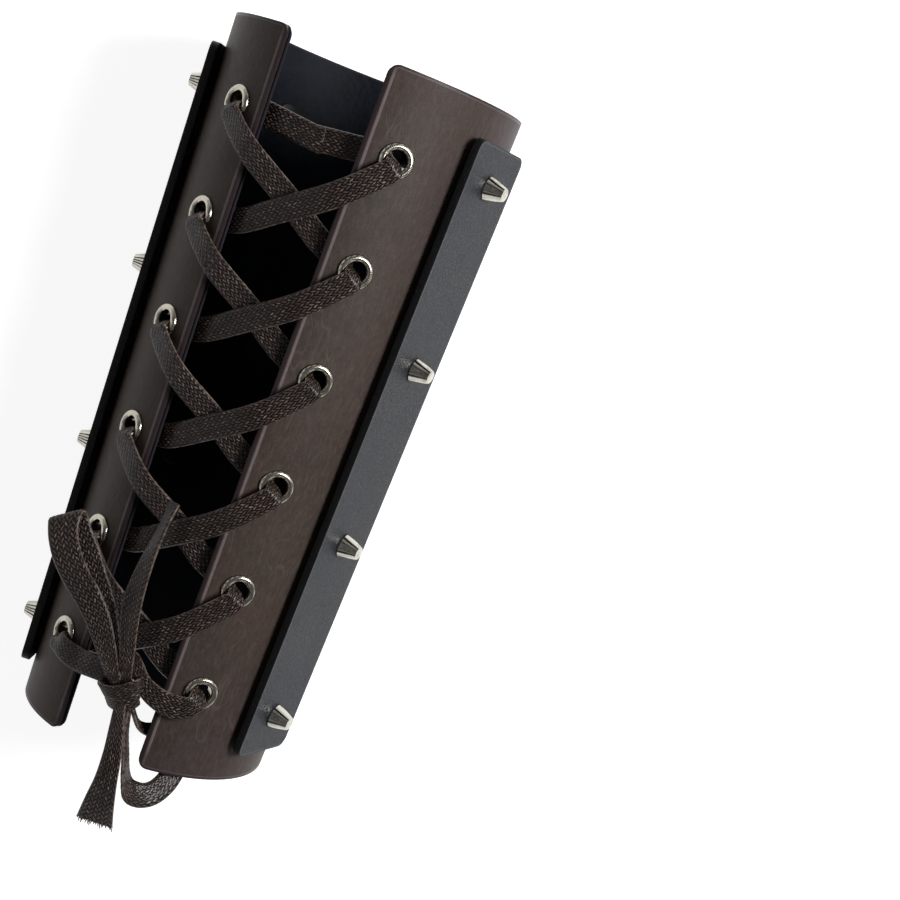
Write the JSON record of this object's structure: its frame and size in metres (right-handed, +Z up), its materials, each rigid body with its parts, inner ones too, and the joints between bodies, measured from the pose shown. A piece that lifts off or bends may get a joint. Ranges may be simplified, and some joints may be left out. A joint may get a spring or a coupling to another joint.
{
  "type": "leather bracer",
  "caption": "Tapered leather forearm guard with a laced opening, flat riveted splints with cone studs, and a bow at the wrist.",
  "frame": {"origin": "on the floor it lies on, under the middle of the box around the bracer without the bow's loops and tails", "axes": "+Z up, +Y from the wrist end to the elbow end, the laced opening up and rolled towards -X"},
  "size_m": [0.115, 0.2637, 0.1077],
  "materials": {
    "brown_leather": "satin dark brown with fine creases, purple-brown painted edges",
    "dark_lining": "matt navy-black, finely pebbled",
    "black_leather": "satin blue-black with fine grain",
    "polished_nickel": "polished nickel, slightly warm",
    "waxed_braid": "dark brown waxed flat braid"
  },
  "bodies": {
    "left_half": {"shell_left": "brown_leather", "lining_left": "dark_lining", "splint_back": "black_leather", "splint_left_inner": "black_leather", "splint_left_outer": "black_leather", "studs_back": "polished_nickel", "studs_left_inner": "polished_nickel", "studs_left_outer": "polished_nickel", "screws_back": "polished_nickel", "screws_left_inner": "polished_nickel", "screws_left_outer": "polished_nickel", "eyelets_left": "polished_nickel", "washers_left": "polished_nickel", "lace_lacing": "waxed_braid", "lace_knot": "waxed_braid", "lace_loop_left": "waxed_braid", "lace_loop_down": "waxed_braid", "lace_tail_up": "waxed_braid", "lace_tail_down": "waxed_braid"},
    "right_half": {"shell_right": "brown_leather", "lining_right": "dark_lining", "splint_right_inner": "black_leather", "splint_right_outer": "black_leather", "studs_right_inner": "polished_nickel", "studs_right_outer": "polished_nickel", "screws_right_inner": "polished_nickel", "screws_right_outer": "polished_nickel", "eyelets_right": "polished_nickel", "washers_right": "polished_nickel"}
  },
  "joints": [
    {"name": "cuff_flex", "type": "hinge", "parent": "left_half", "child": "right_half", "pos_m": [0.03522, 0.00085, 0.02321], "axis": [0.0243, 0.9996, 0.013], "range_deg": [-8, 12], "deforming": ["lace_lacing", "lace_loop_down"]}
  ]
}
